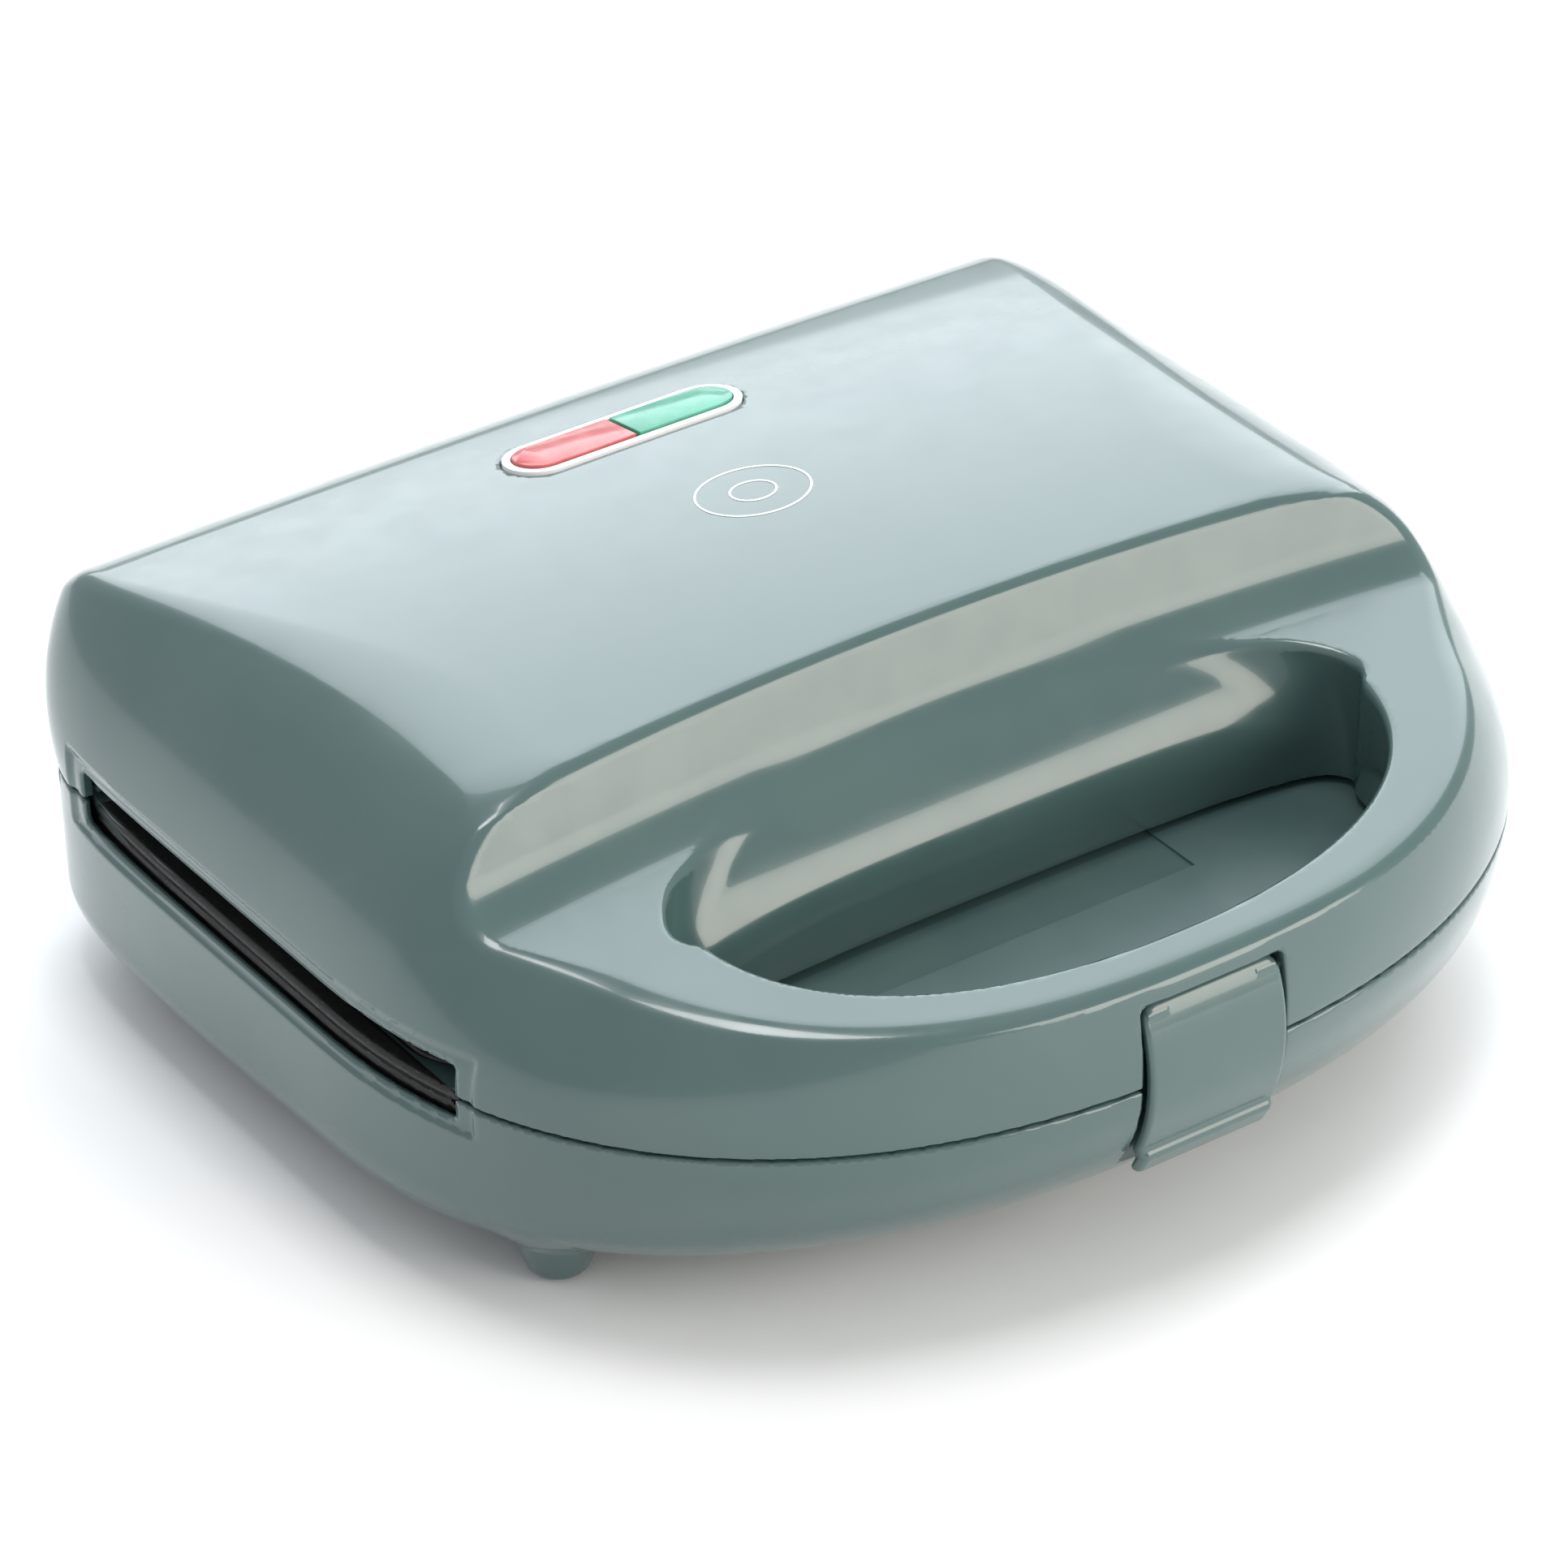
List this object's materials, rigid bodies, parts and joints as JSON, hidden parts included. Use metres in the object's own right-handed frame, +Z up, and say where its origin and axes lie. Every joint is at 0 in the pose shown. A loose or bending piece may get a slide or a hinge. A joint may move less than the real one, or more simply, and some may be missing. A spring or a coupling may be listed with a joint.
{
  "type": "mini donut maker",
  "caption": "Hinged countertop appliance with ring-moulded cooking plates, a rounded lid with a finger-hole grip, a clip latch and indicator lamps.",
  "frame": {"origin": "centre of the bounding box, on the table surface under the feet", "axes": "+Z up, grip and latch towards -Y, hinges and cord gland towards +Y, +X to the right seen from the front"},
  "size_m": [0.2396, 0.2252, 0.0906],
  "materials": {
    "shell": "glossy moulded plastic, muted sage blue-green",
    "inner_frame": "satin heat-resistant plastic",
    "plate_coating": "black non-stick coating on cast aluminium",
    "heater_steel": "plain steel tube",
    "reflector": "pressed sheet",
    "ceramic": "steatite, matt",
    "black_plastic": "moulded, matt",
    "bezel": "white, glossy",
    "lens_red": "translucent, glossy",
    "lens_green": "translucent, glossy",
    "lamp_glass": "clear glass neon lamp",
    "pin_steel": "zinc plated",
    "rubber": "matt"
  },
  "bodies": {
    "base": {"lower_casing": "shell", "lower_inner_frame": "inner_frame", "lower_plate": "plate_coating", "lower_heating_element": "heater_steel", "lower_reflector": "reflector", "terminal_block": "ceramic", "cord_gland": "black_plastic", "hinge_pin_left": "pin_steel", "hinge_pin_right": "pin_steel", "foot_pad_front_left": "rubber", "foot_pad_front_right": "rubber", "foot_pad_rear_left": "rubber", "foot_pad_rear_right": "rubber", "base_screw_1": "pin_steel", "base_screw_2": "pin_steel", "base_screw_3": "pin_steel", "base_screw_4": "pin_steel"},
    "lid": {"upper_casing": "shell", "upper_inner_frame": "inner_frame", "upper_plate": "plate_coating", "upper_heating_element": "heater_steel", "upper_reflector": "reflector", "thermostat": "ceramic", "thermal_fuse": "heater_steel", "indicator_bezel": "bezel", "lens_red": "lens_red", "lens_green": "lens_green", "lamp_red": "lamp_glass", "lamp_green": "lamp_glass", "lamp_holder": "bezel", "latch_pin": "pin_steel", "lid_screw_1": "pin_steel", "lid_screw_2": "pin_steel", "lid_screw_3": "pin_steel", "lid_screw_4": "pin_steel"},
    "latch": {"latch": "shell"}
  },
  "joints": [
    {"name": "lid_hinge", "type": "hinge", "parent": "base", "child": "lid", "pos_m": [0, 0.09855, 0.053], "axis": [-1, 0, 0], "range_deg": [0, 100]},
    {"name": "latch_pivot", "type": "hinge", "parent": "lid", "child": "latch", "pos_m": [0, -0.10705, 0.0555], "axis": [-1, 0, 0], "range_deg": [0, 30]}
  ]
}
